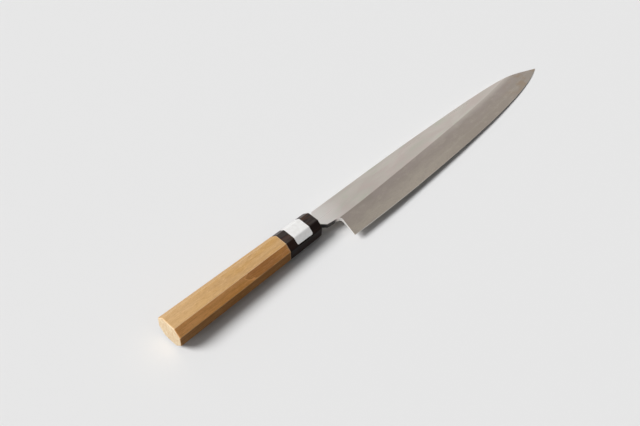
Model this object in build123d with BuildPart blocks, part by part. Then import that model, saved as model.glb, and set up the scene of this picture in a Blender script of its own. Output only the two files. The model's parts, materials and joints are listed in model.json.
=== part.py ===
"""A single-bevel slicing knife: a laminated blade, a horn ferrule and an eight-sided wooden handle.

The knife is built along its own axis. X runs from the butt to the point, Y from the cutting edge
to the spine, and Z through the blade from its hollow back to its bevelled face. The origin lies on
the handle's axis at the ferrule's front face. The finished pieces are then laid down as the knife
rests on a table: on the ferrule's lower front edge and on the point of the blade.
"""
from build123d import *
import os
from math import atan, degrees

overrun = 5.0  # how far a cutting shape runs past what it cuts

# Tapered eight-sided bar that the wood and the ferrule are shaped from
handle_length = 142.0  # butt to the ferrule's front face
butt_width = 24.4  # from the edge side to the spine side
butt_height = 20.6
butt_facet = 5.8  # leg of the 45 degree corner facets
front_width = 20.2
front_height = 19.0
front_facet = 5.0
wood_corner_radius = 0.8  # softening of the wood's long corners and ends
butt_crown_radius = 150.0  # sphere that the butt's end is dressed to
butt_bevel = 0.5  # broken edge round the butt's end

# Ferrule, and the tenon that it sits on
ferrule_length = 34.0
horn_corner_radius = 1.7  # buffed rounder than the wood
ferrule_front_wall = 8.0  # horn left in front of the socket
tenon_diameter = 13.5
tenon_clearance = 0.1  # glue film round the tenon
tenon_end_gap = 0.5

# Foil label over the ferrule's upper facets
label_thickness = 0.15
label_length = 16.0
label_span = 19.6  # across the knife, seen from above
label_front_gap = 10.3  # ferrule's front face to the label
label_corner_radius = 1.0

# Tang
tang_length = 100.0  # behind the ferrule's front face
tang_root_width = 9.0
tang_root_offset = 0.5  # towards the spine
tang_end_width = 4.5
tang_end_thickness = 2.6
tang_clearance = 0.15
tang_end_gap = 2.0

# Blade, seen from above
blade_reach = 285.0  # ferrule's front face to the point
heel_reach = 16.1
heel_offset = 29.2  # handle's axis to the heel's corner
spine_offset = 8.6
point_offset = 9.0  # handle's axis to the point, on the edge side
spine_point_angle = 20.5  # how steeply the spine runs out at the point, in degrees
shoulder_reach = 6.2
neck_offset = 9.1  # handle's axis to the neck's lower side at the shoulder
choil_reach = 19.4
choil_offset = 10.8
choil_radius = 3.0

# Blade, through its thickness
root_thickness = 4.1
point_thickness = 1.7  # what the upper face alone would leave at the point
edge_thickness = 0.2
heel_bevel_width = 18.4
middle_bevel_width = 21.0
point_bevel_width = 19.4
upper_corner_radius = 0.3  # along the spine, the shoulders, the neck and the choil

# Cutting steel under the iron
steel_start = 10.0  # ferrule's front face to where the steel begins
steel_root_thickness = 1.4
steel_point_thickness = 0.6

# Hollow of the back
hollow_radius = 330.0
hollow_edge_rim = 1.2
hollow_spine_rim = 2.2
hollow_start = 11.0  # from the ferrule's front face, under the neck

# Outline of the blade: share of the way from heel to point, and how much of the spine's whole
# fall and of the edge's whole rise is done there
outline_shares = [
    (0.00, 0.00, 0.00),
    (0.15, 0.00, -0.035),
    (0.34, 0.01, 0.007),
    (0.60, 0.102, 0.153),
    (0.80, 0.25, 0.389),
    (0.90, 0.47, 0.60),
    (0.96, 0.77, 0.80),
    (1.00, 1.00, 1.00),
]
bevel_overrun_share = 0.3  # of the bevel's width, that its cutter reaches past both sides

back_level = -root_thickness / 2


def between(first, last, share):
    """A value on the way from first to last."""
    return first + (last - first) * share


def bar_section(width, height, facet):
    """The eight-sided section at one end of the handle."""
    with BuildSketch(Plane.YZ) as section:
        Rectangle(width, height)
        chamfer(section.vertices(), facet)
    return section.sketch


def facet_distance(section, outwards):
    """How far from the handle's axis the section's side lies that looks outwards in this direction."""
    return max(outwards.dot(corner.center()) for corner in section.vertices())


def handle_bar(rear, front, growth=0):
    """A stretch of the tapered bar that the wood and the ferrule share, grown outwards by growth.

    A plain block is cut to each facet in turn, so that every facet is a true plane.
    """
    butt = bar_section(butt_width, butt_height, butt_facet)
    nose = bar_section(front_width, front_height, front_facet)
    with BuildSketch(Plane.YZ.offset(rear)) as block:
        Rectangle(butt_width + front_width, butt_height + front_height)
    extrude(block.sketch, amount=front - rear)
    for turn in range(0, 360, 45):
        outwards = Vector(0, 1, 0).rotate(Axis.X, turn)
        at_butt = facet_distance(butt, outwards)
        at_nose = facet_distance(nose, outwards)
        facet = Plane(
            origin=outwards * (at_nose + growth),
            x_dir=outwards.cross(Vector(1, 0, 0)),
            z_dir=outwards * handle_length + Vector(at_butt - at_nose, 0, 0),
        )
        split(bisect_by=facet, keep=Keep.BOTTOM)


def soften_bar(bar, open_faces, radius):
    """Rounds every corner of the bar, apart from the edges round its open faces."""
    edges = bar.edges()
    for face in open_faces:
        edges -= face.edges()
    fillet(edges, radius)


def tang_section(x, growth):
    """The tang's section at x, grown by a clearance where it is to be a hole."""
    share = -x / tang_length
    width = between(tang_root_width, tang_end_width, share)
    thickness = between(root_thickness, tang_end_thickness, share)
    with BuildSketch(Plane.YZ.offset(x)) as section:
        with Locations((between(tang_root_offset, 0, share), 0)):
            Rectangle(width + 2 * growth, thickness + 2 * growth)
    return section.sketch


def tang_bar(rear, front, growth=0, mode=Mode.ADD):
    """A stretch of the tapered tang, or of the hole that takes it."""
    loft([tang_section(rear, growth), tang_section(front, growth)], ruled=True, mode=mode)


def face_level(x):
    """Height of the blade's upper face at x, which falls evenly towards the point."""
    return back_level + between(root_thickness, point_thickness, x / blade_reach)


def bevel_width(share):
    """Width of the bevel: a parabola through its widths at the heel, the middle and the point."""
    straight = between(heel_bevel_width, point_bevel_width, share)
    bulge = middle_bevel_width - between(heel_bevel_width, point_bevel_width, 0.5)
    return straight + 4 * bulge * share * (1 - share)


def bevel_section(edge_point, width):
    """Section of the shape that grinds the bevel: all that lies above its slope at one station."""
    low = Vector(edge_point.Y, back_level + edge_thickness)
    ridge = Vector(edge_point.Y + width, face_level(edge_point.X))
    reach = (ridge - low) * bevel_overrun_share
    low -= reach
    ridge += reach
    with BuildSketch(Plane.YZ.offset(edge_point.X)) as section:
        with BuildLine():
            Polyline(low, ridge, (low.X, ridge.Y), close=True)
        make_face()
    return section.sketch


def hollow_section(edge_point, spine_point):
    """Section of the shape that hollows the back and leaves a flat rim along both sides."""
    low = edge_point.Y + hollow_edge_rim
    high = spine_point.Y - hollow_spine_rim
    depth = (high - low) ** 2 / (8 * hollow_radius)
    with BuildSketch(Plane.YZ.offset(edge_point.X)) as section:
        with BuildLine():
            ThreePointArc((low, back_level), ((low + high) / 2, back_level + depth), (high, back_level))
            Polyline(
                (high, back_level),
                (high, back_level - overrun),
                (low, back_level - overrun),
                (low, back_level),
            )
        make_face()
    return section.sketch


def run_on(inner, outer):
    """The point one overrun past outer, in line with inner."""
    return outer + (outer - inner).normalized() * overrun


def is_soft_corner(edge):
    """Whether an edge of the upper face runs along the spine, a shoulder, the neck or the choil."""
    front_end = edge.bounding_box().max.X
    in_sight = front_end > shoulder_reach - upper_corner_radius
    return in_sight and (front_end < choil_reach or edge.center().Y > 0)


spine_points = []
edge_points = []
for along, fall, rise in outline_shares:
    x = between(heel_reach, blade_reach, along)
    spine_points.append(Vector(x, between(spine_offset, -point_offset, fall)))
    edge_points.append(Vector(x, between(-heel_offset, -point_offset, rise)))

bevel_stations = [run_on(edge_points[1], edge_points[0]), *edge_points, run_on(*edge_points[-2:])]
bevel_widths = [bevel_width(along) for along, fall, rise in outline_shares]
bevel_widths = [heel_bevel_width, *bevel_widths, point_bevel_width]

tang_low = tang_root_offset - tang_root_width / 2
tang_high = tang_root_offset + tang_root_width / 2
choil_corner = (choil_reach, -choil_offset)

# The whole blade, before its two metals are told apart
with BuildPart() as blade:
    with BuildSketch(Plane.XY.offset(back_level)) as outline:
        with BuildLine():
            Spline(
                spine_points[1:],
                tangents=[Vector(1, 0), Vector(1, 0).rotate(Axis.Z, -spine_point_angle)],
            )
            Spline(edge_points)
            Polyline(
                edge_points[0],
                choil_corner,
                (shoulder_reach, -neck_offset),
                (shoulder_reach - neck_offset - tang_low, tang_low),
                (0, tang_low),
                (0, tang_high),
                (shoulder_reach - spine_offset + tang_high, tang_high),
                (shoulder_reach, spine_offset),
                spine_points[1],
            )
        make_face()
        fillet(outline.vertices().sort_by_distance(choil_corner)[0], choil_radius)
    extrude(amount=root_thickness)

    face_fall = root_thickness - point_thickness
    upper_face = Plane(
        origin=(0, 0, face_level(0)),
        x_dir=(blade_reach, 0, -face_fall),
        z_dir=(face_fall, 0, blade_reach),
    )
    split(bisect_by=upper_face, keep=Keep.BOTTOM)

    loft([bevel_section(*place) for place in zip(bevel_stations, bevel_widths)], mode=Mode.SUBTRACT)
    hollow_sections = [hollow_section(*place) for place in zip(edge_points, spine_points[:-1])]
    loft(hollow_sections, mode=Mode.SUBTRACT)
    neck_low = Vector(hollow_start, -neck_offset)
    neck_high = Vector(hollow_start, spine_offset)
    loft([hollow_section(neck_low, neck_high), hollow_sections[0]], ruled=True, mode=Mode.SUBTRACT)

    upper_edges = blade.faces().filter_by(upper_face).sort_by(SortBy.AREA)[-1].edges()
    fillet(upper_edges.filter_by(is_soft_corner), upper_corner_radius)
    tang_bar(-tang_length, 0)

# What lies low enough in the blade to be cutting steel
with BuildPart() as steel_zone:
    with BuildSketch(Plane.XZ):
        with BuildLine():
            Polyline(
                (steel_start, back_level - overrun),
                (steel_start, back_level + steel_root_thickness),
                (blade_reach + overrun, back_level + steel_point_thickness),
                (blade_reach + overrun, back_level - overrun),
                close=True,
            )
        make_face()
    extrude(amount=heel_offset + overrun, both=True)

with BuildPart() as blade_steel:
    add(blade.part)
    add(steel_zone.part, mode=Mode.INTERSECT)

with BuildPart() as blade_cladding:
    add(blade.part)
    add(steel_zone.part, mode=Mode.SUBTRACT)

with BuildPart() as ferrule_bar:
    handle_bar(-ferrule_length, 0)
    soften_bar(ferrule_bar, ferrule_bar.faces().sort_by(Axis.X)[:1], horn_corner_radius)

with BuildPart() as ferrule:
    add(ferrule_bar.part)
    with BuildSketch(Plane.YZ.offset(-ferrule_length)):
        Circle(tenon_diameter / 2 + tenon_clearance)
    extrude(amount=ferrule_length - ferrule_front_wall, mode=Mode.SUBTRACT)
    tang_bar(-ferrule_length, overrun, tang_clearance, mode=Mode.SUBTRACT)

with BuildPart() as handle:
    handle_bar(-handle_length, -ferrule_length)
    with Locations((butt_crown_radius - handle_length, 0, 0)):
        Sphere(butt_crown_radius, mode=Mode.INTERSECT)
    chamfer(handle.faces().sort_by(Axis.X)[0].edges(), butt_bevel)
    soften_bar(handle, [], wood_corner_radius)
    with BuildSketch(Plane.YZ.offset(-ferrule_length)):
        Circle(tenon_diameter / 2)
    extrude(amount=ferrule_length - ferrule_front_wall - tenon_end_gap)
    tang_bar(-tang_length - tang_end_gap, 0, tang_clearance, mode=Mode.SUBTRACT)

with BuildPart() as label:
    handle_bar(-ferrule_length, 0, label_thickness)
    ends = label.faces().sort_by(Axis.X)
    soften_bar(label, [ends[0], ends[-1]], horn_corner_radius + label_thickness)
    add(ferrule_bar.part, mode=Mode.SUBTRACT)
    with BuildSketch():
        with Locations((-label_front_gap - label_length / 2, 0)):
            RectangleRounded(label_length, label_span, label_corner_radius)
    extrude(amount=front_height, mode=Mode.INTERSECT)

# Nose-down turn that lets the ferrule, where its front rounding starts, and the point touch the floor
rest_angle = degrees(atan((front_height / 2 + back_level) / (blade_reach + horn_corner_radius)))
nose_down = Location((0, 0, 0), (0, rest_angle, 0))
pieces = [blade_cladding, blade_steel, ferrule, handle, label]
box = Compound(children=[piece.part.moved(nose_down) for piece in pieces]).bounding_box()
lying = Location((-box.center().X, -box.center().Y, -box.min.Z)) * nose_down
for piece in pieces:
    piece.part.locate(lying)

os.makedirs("parts", exist_ok=True)

blade_cladding.part.label = "blade_cladding"
export_step(blade_cladding.part, "parts/blade_cladding.step")

blade_steel.part.label = "blade_steel"
export_step(blade_steel.part, "parts/blade_steel.step")

ferrule.part.label = "ferrule"
export_step(ferrule.part, "parts/ferrule.step")

handle.part.label = "handle"
export_step(handle.part, "parts/handle.step")

label.part.label = "label"
export_step(label.part, "parts/label.step")
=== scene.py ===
"""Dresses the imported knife: a camera, a plain studio and a worked material for each of its pieces.

Places and lengths are in metres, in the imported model's frame. The materials work in millimetres, in
the knife's own frame: X from the butt to the point, Y from the cutting edge to the spine, Z out of
the bevelled side, with the origin on the handle's axis at the ferrule's front face.

A span is the pair of values between which a mark sets in. A share is how much of it is laid on or,
for a place on the bevel, a part of the bevel's width. Where a share or a roughness is a pair, it is
the value before and past the span.
"""
import json
import math

import bpy
from mathutils import Matrix, Vector

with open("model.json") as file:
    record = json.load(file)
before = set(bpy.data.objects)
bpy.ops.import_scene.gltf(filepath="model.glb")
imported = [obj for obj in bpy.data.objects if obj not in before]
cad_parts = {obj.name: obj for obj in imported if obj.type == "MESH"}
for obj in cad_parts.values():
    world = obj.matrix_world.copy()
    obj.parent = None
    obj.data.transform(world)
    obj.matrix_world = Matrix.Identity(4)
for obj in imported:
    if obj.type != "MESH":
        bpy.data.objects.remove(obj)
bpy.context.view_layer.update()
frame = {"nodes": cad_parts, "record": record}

millimetre = 0.001

# Camera: where it stands round the object, and what it looks at
camera_azimuth = -46.32  # degrees, with 0 looking along +Y
camera_elevation = 49.40
camera_roll = 0.83
camera_distance = 0.6595
camera_aim = Vector((-0.06355, 0.00945, 0.0153))
camera_lens = 48.18  # millimetres, as the sensor's width
sensor_width = 36.0

# Floor and surroundings
floor_size = 120.0
floor_tone = 0.80  # as the camera and glossy things see it
floor_bounce_tone = 0.04  # as it lights the object from below
floor_roughness = 0.9
horizon_tone = 0.90
zenith_tone = 0.34
sky_fade_span = (0.68, 0.88)  # sine of the elevation between which the surroundings darken
ambient_tone = 0.14

# Lamps: direction from the object, width as degrees of its sky, and strength
key_lamp_direction = Vector((-0.62, 0.32, 0.66))
key_lamp_width = 28.0
key_lamp_strength = 3.58
butt_lamp_direction = Vector((-0.95, 0.0, 0.30))
butt_lamp_width = 20.0
butt_lamp_strength = 0.62

# Directions in the knife's own frame
way_forward = (1.0, 0.0, 0.0)
way_to_butt = (-1.0, 0.0, 0.0)
way_to_spine = (0.0, 1.0, 0.0)
way_to_edge = (0.0, -1.0, 0.0)
way_up = (0.0, 0.0, 1.0)
way_of_figure = (0.0, -1.0, 1.0)  # out of the facet that has the dark figure
across_knife = (0.0, 1.0, 1.0)  # drops what lies along the knife

# Where most values of a noise lie, and where nearly all of them do
noise_span = (0.3, 0.7)
wide_noise_span = (0.2, 0.8)

# The handle's eight sides: its softened corners, worn and brightened with painted highlights, and the
# edge-side facets, painted browner and darker as shade
side_count = 8.0
corner_span = (0.7, -0.6)  # of a wave that is 1 in the middle of each facet and -1 on each corner
edge_side_span = (0.25, 0.65)  # cosine to the edge side

# Wood, in millimetres: the tree's heart beside the handle, its rings, and the sizes of the figure
heart_place = Vector((0.0, 34.0, -50.0))
ring_spacing = 2.3
ring_waver = 1.6
waver_size = (95.0, 22.0, 22.0)
patch_size = (34.0, 8.0, 8.0)
streak_size = (46.0, 1.5, 1.5)
fibre_size = (16.0, 0.32, 0.32)
fleck_size = (3.4, 0.85, 0.85)
pore_size = (3.4, 0.26, 0.26)
wear_size = (9.0, 3.0, 3.0)
fibre_depth = 0.03
pore_depth = 0.04
pale_end_start = -75.0  # from where the wood gets paler towards the butt
front_highlight_strip = 1.6  # width of the painted highlight strip along the ferrule

# How the wood's marks set in, and how strong they are
ring_rise_span = (0.30, 0.90)  # of a ring's width, where its late wood comes in
ring_fall_span = (1.0, 0.95)
ring_share_span = (0.35, 0.70)  # of the noise that makes the rings stronger or fainter
ring_shares = (0.08, 0.32)
patch_span = (0.36, 0.64)
pale_end_share = 0.75
dark_streak_span = (0.45, 0.75)
pale_streak_span = (0.45, 0.25)
streak_shares = (0.14, 0.65)  # on most facets, and on the edge-side ones
fibre_span = (0.40, 0.75)
fibre_share = 0.42
dark_fleck_span = (0.50, 0.72)
dark_fleck_share = 0.62
pale_fleck_span = (0.48, 0.28)
pale_fleck_share = 0.75
pore_span = (0.60, 0.72)
pore_share = 0.30
# worn corners, brightened as painted highlights
wear_span = (0.30, 0.60)
wear_shares = (0.35, 0.85)
front_highlight_share = 0.90
wood_roughness = (0.50, 0.62)
wood_specular = 0.15

# The wood's cut end at the butt, and the painted highlight over its rim
blotch_size = (7.0, 3.6, 3.6)
spot_size = (1.6, 1.6, 1.6)
end_span = (0.15, 0.95)  # cosine to the knife's length, over the rounded rim
# painted highlight over the rounded rim
rim_highlight_span = (0.985, 0.90)
rim_highlight_share = 0.25
shaded_rim_span = (0.45, 0.65)  # cosine to the edge side, where the shaded rim keeps the wood's colour and loses its painted highlight
shaded_rim_shares = (1.0, 0.20)
tan_blotch_span = (0.42, 0.75)
pale_blotch_span = (0.55, 0.25)
blotch_share = 0.5
tan_spot_span = (0.50, 0.72)
pale_spot_span = (0.48, 0.30)
spot_share = 0.5
end_ring_share = 0.25
end_pore_share = 0.45

# Dark tongue of figure on the facet between the upper and the edge-side one
figured_facet_span = (0.93, 0.985)  # cosine to that facet's direction
tongue_tip = -77.0  # along the knife
tongue_middle = -0.9  # across the facet, towards its lower corner
tongue_width = 5.2
tongue_length = 4.0  # in which it reaches two thirds of its width
tongue_lean = 1.9  # how much narrower it is on the side of the upper corner
tongue_waver = 0.8
tongue_waver_size = (7.0, 2.5, 2.5)
tongue_border = 0.5
tongue_rim = 1.5  # width of the pale arc outside it
tongue_ring = 1.9  # from one dark line inside it to the next
tongue_line_rise_span = (0.35, 0.90)  # of that distance
tongue_line_fall_span = (1.0, 0.92)
tongue_fade_start = -53.0
tongue_fade_end = -40.0
tongue_front_share = 0.35  # what is left of it by the ferrule
tongue_body_share = 0.38
tongue_line_share = 0.40
tongue_rim_share = 0.85

# Horn
cloud_size = (24.0, 3.2, 3.2)
cloud_span = (0.38, 0.62)
brown_cloud_span = (0.48, 0.66)
brown_cloud_share = 0.9
horn_fibre_size = (30.0, 0.4, 0.4)
horn_fibre_span = (0.45, 0.80)
horn_fibre_share = 0.35
horn_fibre_depth = 0.012
horn_roughness = (0.28, 0.40)
horn_specular = 0.07

# Foil
crinkle_size = (2.6, 2.6, 2.6)
crinkle_span = (0.35, 0.70)
crinkle_depth = 0.03
foil_grain_size = (0.35, 0.35, 0.35)
foil_grain_depth = 0.003
foil_roughness = (0.34, 0.46)
foil_metallic = 0.15

# Blade, through its thickness, over the flat of the back
root_height = 4.1  # of the upper face, at the ferrule
point_height = 1.7
edge_height = 0.2
rim_height = 0.03  # up to where the flat rims of the back turn into its hollow

# Sides of the blade, told apart by the cosine between the surface and straight up
above_span = (0.5, 0.8)
below_span = (-0.5, -0.8)
wall_span = (0.85, 0.6)
soft_corner_span = (0.965, 0.90)
bevel_span = (0.025, 0.05)  # cosine to the edge side
wall_side_span = (0.3, 0.7)  # cosine to the side that a wall faces

# Polish of the blade's flat
mist_size = (38.0, 9.0, 9.0)
sheen_size = (70.0, 2.2, 2.2)
scratch_size = (26.0, 0.22, 0.22)
fine_scratch_size = (9.0, 0.09, 0.09)
mottle_size = (9.0, 3.5, 3.5)
scratch_depth = 0.0005
scratch_span = (0.35, 0.75)
dark_mottle_span = (0.50, 0.70)
pale_mottle_span = (0.50, 0.30)
polish_mist_span = (0.32, 0.68)
polish_scratch_share = 0.08
polish_mottle_share = 0.25
rosy_span = (0.48, 0.66)
cool_span = (0.46, 0.30)
neck_light_end = 36.0  # how far the lighter polish beside the ferrule reaches
neck_light_share = 0.64
# painted highlight along the blade's softened corners
corner_highlight_share = 0.6
polish_roughness = (0.275, 0.315)
scratch_roughness = (-0.01, 0.01)  # is added to that of the polish

# Haze of the bevel, and the clearer steel along the edge
bevel_scratch_turn = 24.0  # degrees that the bevel's scratches lie across its length
haze_mist_span = (0.35, 0.65)
haze_rosy_span = (0.46, 0.66)
haze_rosy_share = 0.8
haze_scratch_share = 0.35
bevel_mottle_share = 0.40
speckle_size = (1.5, 0.9, 0.9)
speckle_span = (0.40, 0.75)
speckle_share = 0.30
weld_place_share = 0.34  # from the edge to the border of the two metals
weld_waver_share = 0.07
weld_waver_size = (21.0, 60.0, 60.0)
weld_line_share = 0.035  # half the width of the line along it
weld_light_share = 0.10
iron_to_steel_span = (0.45, -0.20)  # of the bevel's width past the border, from haze to clear steel
dull_steel_start = 90.0  # from where the steel along the edge gets duller towards the point
dull_steel_full = 190.0
edge_line_share = 0.03  # width of the bright line along the edge
edge_line_start = 40.0  # from where it gets fainter
edge_line_end = 130.0
edge_light_shares = (0.60, 0.15)
ridge_span = (0.76, 1.0)  # of the bevel's width
ridge_share = 0.6
soft_ridge_start = 90.0  # from where the ridge line softens towards the point
soft_ridge_end = 230.0
stain_size = (11.0, 7.0, 7.0)
stain_span = (0.46, 0.62)
stain_place_span = (0.85, 0.55)  # of the bevel's width
stain_share = 0.6
stain_start = 225.0  # from where the edge is stained towards the point
stain_full = 262.0
# the bevel gets darker towards the point
darker_tip_start = 258.0
darker_tip_full = 280.0
darker_tip_share = 0.3
bevel_roughness = (0.38, 0.48)

# Walls of the neck and of the choil
choil_start = 13.0  # where the neck's wall, with its painted dark reflection, ends
choil_end = 17.0
# painted highlight on the choil's wall
choil_highlight_share = 0.8
blade_metallic = (1.0, 0.35)  # on the whole blade, and lowered on the choil's wall under its painted highlight

# Colours, in linear light
honey = (0.62, 0.37, 0.142)
tan = (0.61, 0.385, 0.19)
pale_tan = (0.74, 0.485, 0.25)
late_wood = (0.47, 0.255, 0.085)
edge_side_shade_tint = (1.13, 0.875, 0.64)  # painted shade: multiplies the wood's colours on its edge side, browner and darker
# worn corners brightened as painted highlights, and the painted highlight strip by the ferrule
worn_wood_and_highlight = (0.80, 0.58, 0.35)
end_grain = (0.78, 0.62, 0.41)
# pale cream of the cut end, and the painted highlight over its rim
cream_and_rim_highlight = (0.90, 0.78, 0.58)
pore_brown = (0.27, 0.14, 0.05)
figure_brown = (0.33, 0.15, 0.060)
figure_pale = (0.76, 0.50, 0.25)
horn_black = (0.026, 0.021, 0.020)
horn_grey = (0.060, 0.051, 0.046)
horn_brown = (0.066, 0.034, 0.024)
horn_edge_side_shade = (0.36, 0.21, 0.15)  # painted shade: multiplies the horn's colours on its edge side
foil_silver = (0.92, 0.915, 0.90)
foil_shade = (0.85, 0.84, 0.82)
polish_light = (0.625, 0.575, 0.525)
polish_dark = (0.565, 0.52, 0.468)
rosy_tint = (1.02, 0.975, 0.99)  # multiplies the polish where it is rosy
cool_tint = (0.945, 1.0, 0.955)
haze_light = (0.43, 0.372, 0.328)
haze_dark = (0.375, 0.326, 0.287)
haze_rosy = (0.415, 0.355, 0.325)
steel_light = (0.51, 0.455, 0.385)
steel_dark = (0.455, 0.40, 0.335)
steel_dull = (0.385, 0.335, 0.285)
stain_brown = (0.36, 0.27, 0.19)
# bright polish, and the painted highlights on corners and on the choil's wall
bright_metal_and_highlight = (0.90, 0.88, 0.85)
# painted dark reflection on the wall under the neck
painted_dark_reflection = (0.045, 0.042, 0.04)


def knife_axes():
    """The knife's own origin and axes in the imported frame, from its mounts and its ferrule."""
    mounts = {mount["name"]: mount for mount in frame["record"]["mounts"]}
    upper = mounts["handle_upper_facet"]
    lower = mounts["handle_lower_facet"]
    across = Vector((0.0, 1.0, 0.0))
    upwards = (Vector(upper["axis"]) - Vector(lower["axis"])).normalized()
    along = across.cross(upwards)
    on_axis = (Vector(upper["pos_m"]) + Vector(lower["pos_m"])) / 2
    front = max(along.dot(vertex.co) for vertex in frame["nodes"]["ferrule"].data.vertices)
    origin = on_axis + along * (front - along.dot(on_axis))
    return origin, Matrix((along, across, upwards)).transposed()


knife_origin, knife_turn = knife_axes()


def knife_extent(node, axis):
    """Lowest and highest place of a node along the knife's X, Y or Z axis, in millimetres."""
    direction = knife_turn.col["XYZ".index(axis)]
    places = [direction.dot(vertex.co - knife_origin) for vertex in frame["nodes"][node].data.vertices]
    return min(places) / millimetre, max(places) / millimetre


def add_node(tree, kind, inputs=None, **settings):
    """Adds one shader node. Its inputs are plain values or the sockets that feed them."""
    node = tree.nodes.new("ShaderNode" + kind)
    for name, value in settings.items():
        setattr(node, name, value)
    for name, value in (inputs or {}).items():
        if isinstance(value, bpy.types.NodeSocket):
            tree.links.new(value, node.inputs[name])
        else:
            node.inputs[name].default_value = value
    return node


def calculate(tree, operation, *values):
    """One step of arithmetic between sockets and numbers."""
    return add_node(tree, "Math", dict(enumerate(values)), operation=operation).outputs[0]


def product(tree, *values):
    """All the values multiplied."""
    result = values[0]
    for value in values[1:]:
        result = calculate(tree, "MULTIPLY", result, value)
    return result


def fade(tree, value, start, end, low=0.0, high=1.0, shape="SMOOTHSTEP"):
    """Passes from low to high, smoothly or in a straight line, while the value goes from start to end."""
    places = {"Value": value, "From Min": start, "From Max": end, "To Min": low, "To Max": high}
    return add_node(tree, "MapRange", places, interpolation_type=shape).outputs["Result"]


def mix(tree, share, first, second, blend_type="MIX"):
    """A colour between two others, each given as a socket or as its red, green and blue."""
    node = add_node(tree, "Mix", data_type="RGBA", blend_type=blend_type)
    values = {"Factor_Float": share, "A_Color": first, "B_Color": second}
    for socket in node.inputs:
        value = values.get(socket.identifier)
        if isinstance(value, bpy.types.NodeSocket):
            tree.links.new(value, socket)
        elif isinstance(value, tuple):
            socket.default_value = (*value, 1.0)
        elif value is not None:
            socket.default_value = value
    return next(socket for socket in node.outputs if socket.identifier == "Result_Color")


def tint(tree, base, colour, value, span, share=1.0, blend_type="MIX"):
    """The base with a colour laid over it, up to the share, while the value passes the span."""
    return mix(tree, fade(tree, value, *span, 0.0, share), base, colour, blend_type)


def grey(tone):
    """A colourless colour."""
    return (tone, tone, tone)


def stretched(tree, point, size):
    """The point measured in other lengths along the knife's three axes."""
    return add_node(tree, "Mapping", {"Vector": point, "Scale": [1 / length for length in size]}).outputs[0]


def noise(tree, point, size, detail=2.0, roughness=0.5, distortion=0.0):
    """Soft noise with cells of about the given size."""
    inputs = {
        "Vector": stretched(tree, point, size),
        "Scale": 1.0,
        "Detail": detail,
        "Roughness": roughness,
        "Distortion": distortion,
    }
    return add_node(tree, "TexNoise", inputs).outputs[0]


def bump(tree, height, depth, below=None):
    """Bump whose full height is the depth, in millimetres, laid over another bump's normal."""
    inputs = {"Height": height, "Distance": depth * millimetre, "Strength": 1.0}
    if below is not None:
        inputs["Normal"] = below
    return add_node(tree, "Bump", inputs).outputs[0]


def new_material(name):
    """A material with its tree, its surface shader and the knife's own coordinates."""
    material = bpy.data.materials.new(name)
    material.use_nodes = True
    tree = material.node_tree
    shader = tree.nodes["Principled BSDF"]
    place = add_node(tree, "TexCoord").outputs["Object"]
    inputs = {
        "Vector": place,
        "Location": knife_origin,
        "Rotation": knife_turn.to_euler(),
        "Scale": (millimetre, millimetre, millimetre),
    }
    point = add_node(tree, "Mapping", inputs, vector_type="TEXTURE").outputs[0]
    return material, tree, shader, point


def split_point(tree, point):
    """The three coordinates of a point."""
    return add_node(tree, "SeparateXYZ", {"Vector": point}).outputs


def facing(tree, direction):
    """Cosine between the surface and a direction of the knife's own frame."""
    normal = add_node(tree, "NewGeometry").outputs["Normal"]
    inputs = {0: normal, 1: knife_turn @ Vector(direction).normalized()}
    return add_node(tree, "VectorMath", inputs, operation="DOT_PRODUCT").outputs["Value"]


def on_corner(tree):
    """One in the middle of a softened corner of the eight-sided bar, and 0 on its facets."""
    turn = calculate(tree, "ARCTAN2", facing(tree, way_to_spine), facing(tree, way_up))
    wave = calculate(tree, "COSINE", calculate(tree, "MULTIPLY", turn, side_count))
    return fade(tree, wave, *corner_span)


def connect(tree, shader, **inputs):
    """Feeds sockets or plain values into the surface shader."""
    for name, value in inputs.items():
        socket = shader.inputs[name.replace("_", " ").title().replace("Ior", "IOR")]
        if isinstance(value, bpy.types.NodeSocket):
            tree.links.new(value, socket)
        else:
            socket.default_value = value


def growth_rings(tree, point):
    """The tree's rings: 0 in the pale early wood, rising to 1 in the thin late wood of each ring."""
    waver = calculate(tree, "MULTIPLY", noise(tree, point, waver_size, detail=1.5), ring_waver)
    from_heart = add_node(tree, "VectorMath", {0: point, 1: heart_place}, operation="SUBTRACT").outputs[0]
    inputs = {0: from_heart, 1: across_knife}
    from_heart = add_node(tree, "VectorMath", inputs, operation="MULTIPLY").outputs[0]
    radius = add_node(tree, "VectorMath", {0: from_heart}, operation="LENGTH").outputs["Value"]
    rings = calculate(tree, "DIVIDE", calculate(tree, "ADD", radius, waver), ring_spacing)
    phase = calculate(tree, "FRACT", rings)
    return product(tree, fade(tree, phase, *ring_rise_span), fade(tree, phase, *ring_fall_span))


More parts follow.
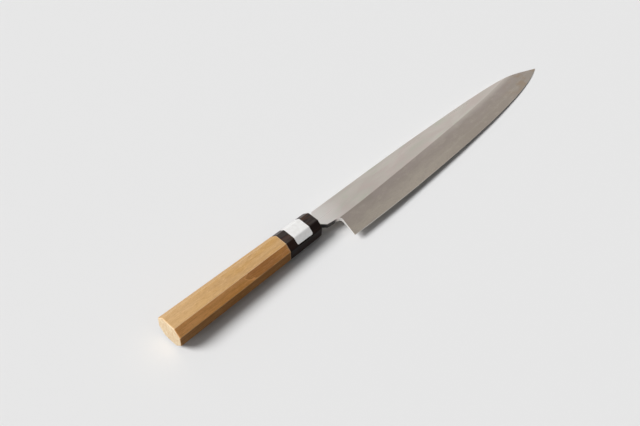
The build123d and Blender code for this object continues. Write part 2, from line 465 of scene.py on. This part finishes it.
def tongue_masks(tree, point):
    """The dark figure on one facet: its body, the dark lines in it, and the pale arc round its tip."""
    x, y, z = split_point(tree, point)
    on_facet = fade(tree, facing(tree, way_of_figure), *figured_facet_span)
    downhill = -math.sqrt(0.5)  # the facet slopes at 45 degrees
    across = calculate(tree, "MULTIPLY", calculate(tree, "ADD", y, z), downhill)
    low_side = calculate(tree, "SUBTRACT", across, tongue_middle)
    high_side = calculate(tree, "MULTIPLY", low_side, -tongue_lean)
    spread = calculate(tree, "MAXIMUM", low_side, high_side)
    behind = calculate(tree, "DIVIDE", calculate(tree, "SUBTRACT", tongue_tip, x), tongue_length)
    width = calculate(tree, "SUBTRACT", 1.0, calculate(tree, "EXPONENT", behind))
    outside = calculate(tree, "SUBTRACT", spread, calculate(tree, "MULTIPLY", width, tongue_width))
    waver = fade(tree, noise(tree, point, tongue_waver_size), *wide_noise_span, -tongue_waver, tongue_waver)
    outside = calculate(tree, "ADD", outside, waver)
    along = product(tree, on_facet,
                    fade(tree, x, tongue_fade_end, tongue_fade_start, tongue_front_share, 1.0))
    body = product(tree, along, fade(tree, outside, tongue_border, -tongue_border))
    rings = calculate(tree, "FRACT", calculate(tree, "DIVIDE", outside, tongue_ring))
    lines = product(tree, body,
                    fade(tree, rings, *tongue_line_rise_span),
                    fade(tree, rings, *tongue_line_fall_span))
    rim = product(tree, along,
                  fade(tree, outside, -tongue_border, tongue_border),
                  fade(tree, outside, tongue_rim, tongue_border))
    return body, lines, rim


def cut_end_colour(tree, point, rings, pores, rim_highlight_mask):
    """Colour of the cut end: mottled, with faint rings and pores, and a painted highlight over its rim."""
    blotches = noise(tree, point, blotch_size, detail=5.0, roughness=0.6)
    colour = tint(tree, end_grain, tan, blotches, tan_blotch_span, blotch_share)
    colour = tint(tree, colour, cream_and_rim_highlight, blotches, pale_blotch_span, blotch_share)
    spots = noise(tree, point, spot_size, detail=3.0, roughness=0.6)
    colour = tint(tree, colour, tan, spots, tan_spot_span, spot_share)
    colour = tint(tree, colour, cream_and_rim_highlight, spots, pale_spot_span, spot_share)
    colour = mix(tree, product(tree, rings, end_ring_share), colour, tan)
    colour = mix(tree, product(tree, pores, end_pore_share), colour, late_wood)
    return mix(tree, product(tree, rim_highlight_mask, rim_highlight_share), colour, cream_and_rim_highlight)


def wood_material():
    """Pale magnolia: straight fine grain, faint rings, fine pores and one darker figure by the ferrule."""
    material, tree, shader, point = new_material("magnolia")
    x = split_point(tree, point)["X"]
    to_edge = facing(tree, way_to_edge)
    # the edge-side facets, which get painted shade and stronger streaks
    shaded_edge_side = fade(tree, to_edge, *edge_side_span)

    patches = noise(tree, point, patch_size)
    base = tint(tree, honey, tan, patches, patch_span)
    butt = knife_extent("handle", "X")[0]
    base = tint(tree, base, pale_tan, x, (pale_end_start, butt), pale_end_share)

    rings = growth_rings(tree, point)
    ring_strength = fade(tree, noise(tree, point, streak_size), *ring_share_span, *ring_shares)
    base = mix(tree, product(tree, rings, ring_strength), base, late_wood)

    streaks = noise(tree, point, streak_size, detail=3.0, roughness=0.6)
    streak_strength = fade(tree, shaded_edge_side, 0.0, 1.0, *streak_shares)
    dark_streaks = product(tree, fade(tree, streaks, *dark_streak_span), streak_strength)
    pale_streaks = product(tree, fade(tree, streaks, *pale_streak_span), streak_strength)
    base = mix(tree, dark_streaks, base, late_wood)
    base = mix(tree, pale_streaks, base, figure_pale)

    fibres = noise(tree, point, fibre_size, detail=4.0, roughness=0.62)
    base = tint(tree, base, late_wood, fibres, fibre_span, fibre_share)

    flecks = noise(tree, point, fleck_size, detail=4.0, roughness=0.68)
    base = tint(tree, base, late_wood, flecks, dark_fleck_span, dark_fleck_share)
    base = tint(tree, base, figure_pale, flecks, pale_fleck_span, pale_fleck_share)

    pores = fade(tree, noise(tree, point, pore_size, roughness=0.7), *pore_span)
    base = mix(tree, product(tree, pores, pore_share), base, pore_brown)

    body, lines, rim = tongue_masks(tree, point)
    base = mix(tree, product(tree, body, tongue_body_share), base, figure_brown)
    base = mix(tree, product(tree, lines, tongue_line_share), base, figure_brown)
    base = mix(tree, product(tree, rim, tongue_rim_share), base, figure_pale)
    # painted shade: the edge-side facets browner and darker
    base = mix(tree, shaded_edge_side, base, edge_side_shade_tint, blend_type="MULTIPLY")

    # worn corners, brightened as a painted highlight
    wear = fade(tree, noise(tree, point, wear_size, detail=3.0), *wear_span, *wear_shares)
    base = mix(tree, product(tree, on_corner(tree), wear), base, worn_wood_and_highlight)
    # painted highlight strip along the ferrule
    front = knife_extent("ferrule", "X")[0]
    base = tint(tree, base, worn_wood_and_highlight, x, (front - front_highlight_strip, front), front_highlight_share)

    lengthwise = calculate(tree, "ABSOLUTE", facing(tree, way_forward))
    kept_rim = fade(tree, to_edge, *shaded_rim_span, *shaded_rim_shares)
    at_end = product(tree, fade(tree, lengthwise, *end_span), kept_rim)
    # painted highlight over the butt's rim
    rim_highlight_mask = product(tree, at_end, fade(tree, lengthwise, *rim_highlight_span))
    base = mix(tree, at_end, base, cut_end_colour(tree, point, rings, pores, rim_highlight_mask))

    connect(tree, shader, base_color=base, roughness=fade(tree, fibres, *noise_span, *wood_roughness))
    connect(tree, shader, specular_ior_level=wood_specular)
    relief = bump(tree, fibres, fibre_depth)
    relief = bump(tree, calculate(tree, "SUBTRACT", 1.0, pores), pore_depth, relief)
    connect(tree, shader, normal=relief)
    return material


def horn_material():
    """Polished buffalo horn: nearly black, with grey and brown clouds drawn out lengthwise, and painted
    shade on its edge side.
    """
    material, tree, shader, point = new_material("buffalo_horn")
    clouds = noise(tree, point, cloud_size, detail=3.0)
    base = tint(tree, horn_black, horn_grey, clouds, cloud_span)
    drift = noise(tree, point, cloud_size, detail=3.0, distortion=1.2)
    base = tint(tree, base, horn_brown, drift, brown_cloud_span, brown_cloud_share)
    fibres = noise(tree, point, horn_fibre_size, detail=4.0, roughness=0.6)
    base = tint(tree, base, horn_grey, fibres, horn_fibre_span, horn_fibre_share)
    # painted shade on the edge-side facets
    base = tint(tree, base, horn_edge_side_shade, facing(tree, way_to_edge), edge_side_span, blend_type="MULTIPLY")
    connect(tree, shader, base_color=base, roughness=fade(tree, fibres, *noise_span, *horn_roughness))
    connect(tree, shader, specular_ior_level=horn_specular)
    connect(tree, shader, normal=bump(tree, fibres, horn_fibre_depth))
    return material


def foil_material():
    """Bare satin foil with soft crinkles."""
    material, tree, shader, point = new_material("satin_foil")
    crinkle = noise(tree, point, crinkle_size, detail=3.0)
    grain = noise(tree, point, foil_grain_size)
    base = tint(tree, foil_silver, foil_shade, crinkle, crinkle_span)
    connect(tree, shader, base_color=base, metallic=foil_metallic)
    connect(tree, shader, roughness=fade(tree, grain, *noise_span, *foil_roughness))
    relief = bump(tree, grain, foil_grain_depth)
    connect(tree, shader, normal=bump(tree, crinkle, crinkle_depth, relief))
    return material


def place_on_bevel(tree, x, height):
    """Place across the bevel, as a share of its width: 0 at the edge and 1 at the ridge."""
    reach = knife_extent("blade_steel", "X")[1]
    ridge_height = fade(tree, x, 0.0, reach, root_height, point_height, shape="LINEAR")
    inputs = {"Value": height, "From Min": edge_height, "From Max": ridge_height}
    return add_node(tree, "MapRange", inputs).outputs["Result"]


def bevel_colour(tree, point, x, place, mist, clouds, mottle, stone):
    """Colour of the bevel: hazy iron, clearer steel along the edge, and stains by the point."""
    haze = tint(tree, haze_light, haze_dark, mist, haze_mist_span)
    haze = tint(tree, haze, haze_rosy, clouds, haze_rosy_span, haze_rosy_share)
    haze = tint(tree, haze, haze_dark, stone, scratch_span, haze_scratch_share)
    steel = tint(tree, steel_light, steel_dark, stone, scratch_span)
    steel = tint(tree, steel, steel_dull, x, (dull_steel_start, dull_steel_full))

    waver = noise(tree, point, weld_waver_size, detail=3.0, roughness=0.6)
    waver = fade(tree, waver, *wide_noise_span, -weld_waver_share, weld_waver_share)
    over_weld = calculate(tree, "SUBTRACT", calculate(tree, "ADD", place, waver), weld_place_share)
    colour = tint(tree, haze, steel, over_weld, iron_to_steel_span)
    colour = tint(tree, colour, haze_dark, mottle, dark_mottle_span, bevel_mottle_share)
    colour = tint(tree, colour, steel_light, mottle, pale_mottle_span, bevel_mottle_share)
    speckle = noise(tree, point, speckle_size)
    colour = tint(tree, colour, haze_dark, speckle, speckle_span, speckle_share)
    from_weld = calculate(tree, "ABSOLUTE", over_weld)
    colour = tint(tree, colour, polish_light, from_weld, (weld_line_share, 0.0), weld_light_share)

    by_ridge = product(tree,
                       fade(tree, place, *ridge_span),
                       fade(tree, x, soft_ridge_start, soft_ridge_end))
    colour = mix(tree, product(tree, by_ridge, ridge_share), colour, polish_light)
    # darker towards the point
    colour = tint(tree, colour, haze_dark, x, (darker_tip_start, darker_tip_full), darker_tip_share)
    stains = product(tree,
                     fade(tree, noise(tree, point, stain_size, detail=3.0), *stain_span),
                     fade(tree, x, stain_start, stain_full),
                     fade(tree, place, *stain_place_span))
    colour = mix(tree, product(tree, stains, stain_share), colour, stain_brown)
    edge_line = product(tree,
                        fade(tree, x, edge_line_start, edge_line_end, *edge_light_shares),
                        fade(tree, place, edge_line_share, 0.0))
    return mix(tree, edge_line, colour, bright_metal_and_highlight)


def blade_material(name):
    """The whole blade's finish: lengthwise polish, misty bevel, clearer steel along the edge.

    Iron and steel share it, so that the border that shows on the bevel wavers as a forge weld does.
    """
    material, tree, shader, point = new_material(name)
    x, _, z = split_point(tree, point)
    height = calculate(tree, "SUBTRACT", z, knife_extent("blade_steel", "Z")[0])
    place = place_on_bevel(tree, x, height)

    # Which side of the blade this is
    to_sky = facing(tree, way_up)
    to_edge = facing(tree, way_to_edge)
    above = fade(tree, to_sky, *above_span)
    below = fade(tree, to_sky, *below_span)
    on_bevel = product(tree, above, fade(tree, to_edge, *bevel_span))
    on_wall = fade(tree, calculate(tree, "ABSOLUTE", to_sky), *wall_span)

    # Polish of the upper face and of the walls
    mist = noise(tree, point, mist_size, detail=3.0, distortion=0.6)
    clouds = noise(tree, point, mist_size, distortion=1.5)
    mottle = noise(tree, point, mottle_size, detail=4.0, roughness=0.65)
    scratches = noise(tree, point, scratch_size, detail=4.0, roughness=0.65)
    fine = noise(tree, point, fine_scratch_size, roughness=0.6)
    flat = tint(tree, polish_light, polish_dark, mist, polish_mist_span)
    flat = tint(tree, flat, polish_dark, scratches, scratch_span, polish_scratch_share)
    flat = tint(tree, flat, polish_dark, mottle, dark_mottle_span, polish_mottle_share)
    flat = tint(tree, flat, bright_metal_and_highlight, x, (neck_light_end, 0.0), neck_light_share)
    flat = tint(tree, flat, rosy_tint, clouds, rosy_span, blend_type="MULTIPLY")
    flat = tint(tree, flat, cool_tint, clouds, cool_span, blend_type="MULTIPLY")

    # Stone haze of the bevel, with its scratches lying a little across
    turn = {"Vector": point, "Rotation": (0.0, 0.0, math.radians(bevel_scratch_turn))}
    turned = add_node(tree, "Mapping", turn).outputs[0]
    stone = noise(tree, turned, fine_scratch_size, detail=3.0, roughness=0.65)
    bevel = bevel_colour(tree, point, x, place, mist, clouds, mottle, stone)

    # Back: ground hollow, polished rims
    hollow = tint(tree, steel_light, haze_dark, scratches, noise_span)
    under = tint(tree, polish_light, hollow, height, (0.0, rim_height))

    # All of them, with painted highlights on the corners and the choil's wall, and a painted dark
    # reflection on the wall under the neck
    base = mix(tree, on_bevel, flat, bevel)
    # painted highlight along the softened corners
    corner = product(tree, above, fade(tree, to_sky, *soft_corner_span))
    base = mix(tree, product(tree, corner, corner_highlight_share), base, bright_metal_and_highlight)
    # painted highlight on the choil's wall
    choil_highlight = product(tree, on_wall, fade(tree, facing(tree, way_to_butt), *wall_side_span))
    base = mix(tree, product(tree, choil_highlight, choil_highlight_share), base, bright_metal_and_highlight)
    # painted dark reflection on the wall under the neck
    neck_wall_dark_reflection = product(tree, on_wall,
                         fade(tree, to_edge, *wall_side_span),
                         fade(tree, x, choil_end, choil_start))
    base = mix(tree, neck_wall_dark_reflection, base, painted_dark_reflection)
    base = mix(tree, below, base, under)
    connect(tree, shader, base_color=base, metallic=fade(tree, choil_highlight, 0.0, 1.0, *blade_metallic))

    sheen = noise(tree, point, sheen_size)
    rough_flat = calculate(tree, "ADD",
                           fade(tree, sheen, *noise_span, *polish_roughness),
                           fade(tree, scratches, *noise_span, *scratch_roughness))
    rough_bevel = fade(tree, stone, *noise_span, *bevel_roughness)
    roughness = {"Factor": on_bevel, "A": rough_flat, "B": rough_bevel}
    connect(tree, shader, roughness=add_node(tree, "Mix", roughness).outputs["Result"])
    relief = bump(tree, scratches, scratch_depth)
    connect(tree, shader, normal=bump(tree, fine, scratch_depth, relief))
    return material


def dress(node, material):
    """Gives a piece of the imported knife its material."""
    piece = frame["nodes"][node]
    piece.data.materials.clear()
    piece.data.materials.append(material)


dress("handle", wood_material())
dress("ferrule", horn_material())
dress("label", foil_material())
dress("blade_cladding", blade_material("clad_iron"))
dress("blade_steel", blade_material("cutting_steel"))


def pale_rays(tree):
    """One for rays that see the surroundings straight, in a mirror or through glass."""
    path = add_node(tree, "LightPath").outputs
    seen = calculate(tree, "MAXIMUM", path["Is Camera Ray"], path["Is Glossy Ray"])
    return calculate(tree, "MAXIMUM", seen, path["Is Transmission Ray"])


def make_floor():
    """A wide plain floor. It looks pale, but throws less light up at the object."""
    material = bpy.data.materials.new("floor")
    material.use_nodes = True
    tree = material.node_tree
    shader = tree.nodes["Principled BSDF"]
    tone = mix(tree, pale_rays(tree), grey(floor_bounce_tone), grey(floor_tone))
    connect(tree, shader, base_color=tone, roughness=floor_roughness)
    bpy.ops.mesh.primitive_plane_add(size=floor_size)
    floor = bpy.context.object
    floor.name = "floor"
    floor.data.materials.append(material)


def make_surroundings():
    """A pale room: bright to the sides, darker overhead, and plain ambient light."""
    world = bpy.data.worlds.new("studio")
    world.use_nodes = True
    bpy.context.scene.world = world
    tree = world.node_tree
    height = split_point(tree, add_node(tree, "TexCoord").outputs["Generated"])["Z"]
    tone = fade(tree, height, *sky_fade_span, horizon_tone, zenith_tone)
    tone = mix(tree, pale_rays(tree), grey(ambient_tone), tone)
    tree.links.new(tone, tree.nodes["Background"].inputs["Color"])


def make_lamp(name, direction, width, strength):
    """A broad soft light from far off, so that it is even over the knife and the whole floor."""
    lamp = bpy.data.lights.new(name, "SUN")
    lamp.angle = math.radians(width)
    lamp.energy = strength
    holder = bpy.data.objects.new(name, lamp)
    bpy.context.scene.collection.objects.link(holder)
    holder.rotation_euler = direction.to_track_quat("Z", "Y").to_euler()


def make_camera():
    """The camera, at the photograph's viewing angle."""
    turn = math.radians(camera_azimuth)
    rise = math.radians(camera_elevation)
    back = Vector((math.sin(turn) * math.cos(rise), -math.cos(turn) * math.cos(rise), math.sin(rise)))
    level = Vector((math.cos(turn), math.sin(turn), 0.0))
    aimed = Matrix((level, back.cross(level), back)).transposed()
    data = bpy.data.cameras.new("camera")
    data.sensor_width = sensor_width
    data.lens = camera_lens
    camera = bpy.data.objects.new("camera", data)
    bpy.context.scene.collection.objects.link(camera)
    rolled = aimed @ Matrix.Rotation(math.radians(camera_roll), 3, "Z")
    camera.matrix_world = Matrix.Translation(camera_aim + back * camera_distance) @ rolled.to_4x4()
    bpy.context.scene.camera = camera


make_floor()
make_surroundings()
make_lamp("key_lamp", key_lamp_direction, key_lamp_width, key_lamp_strength)
make_lamp("butt_lamp", butt_lamp_direction, butt_lamp_width, butt_lamp_strength)
make_camera()
bpy.context.scene.view_settings.view_transform = "Standard"
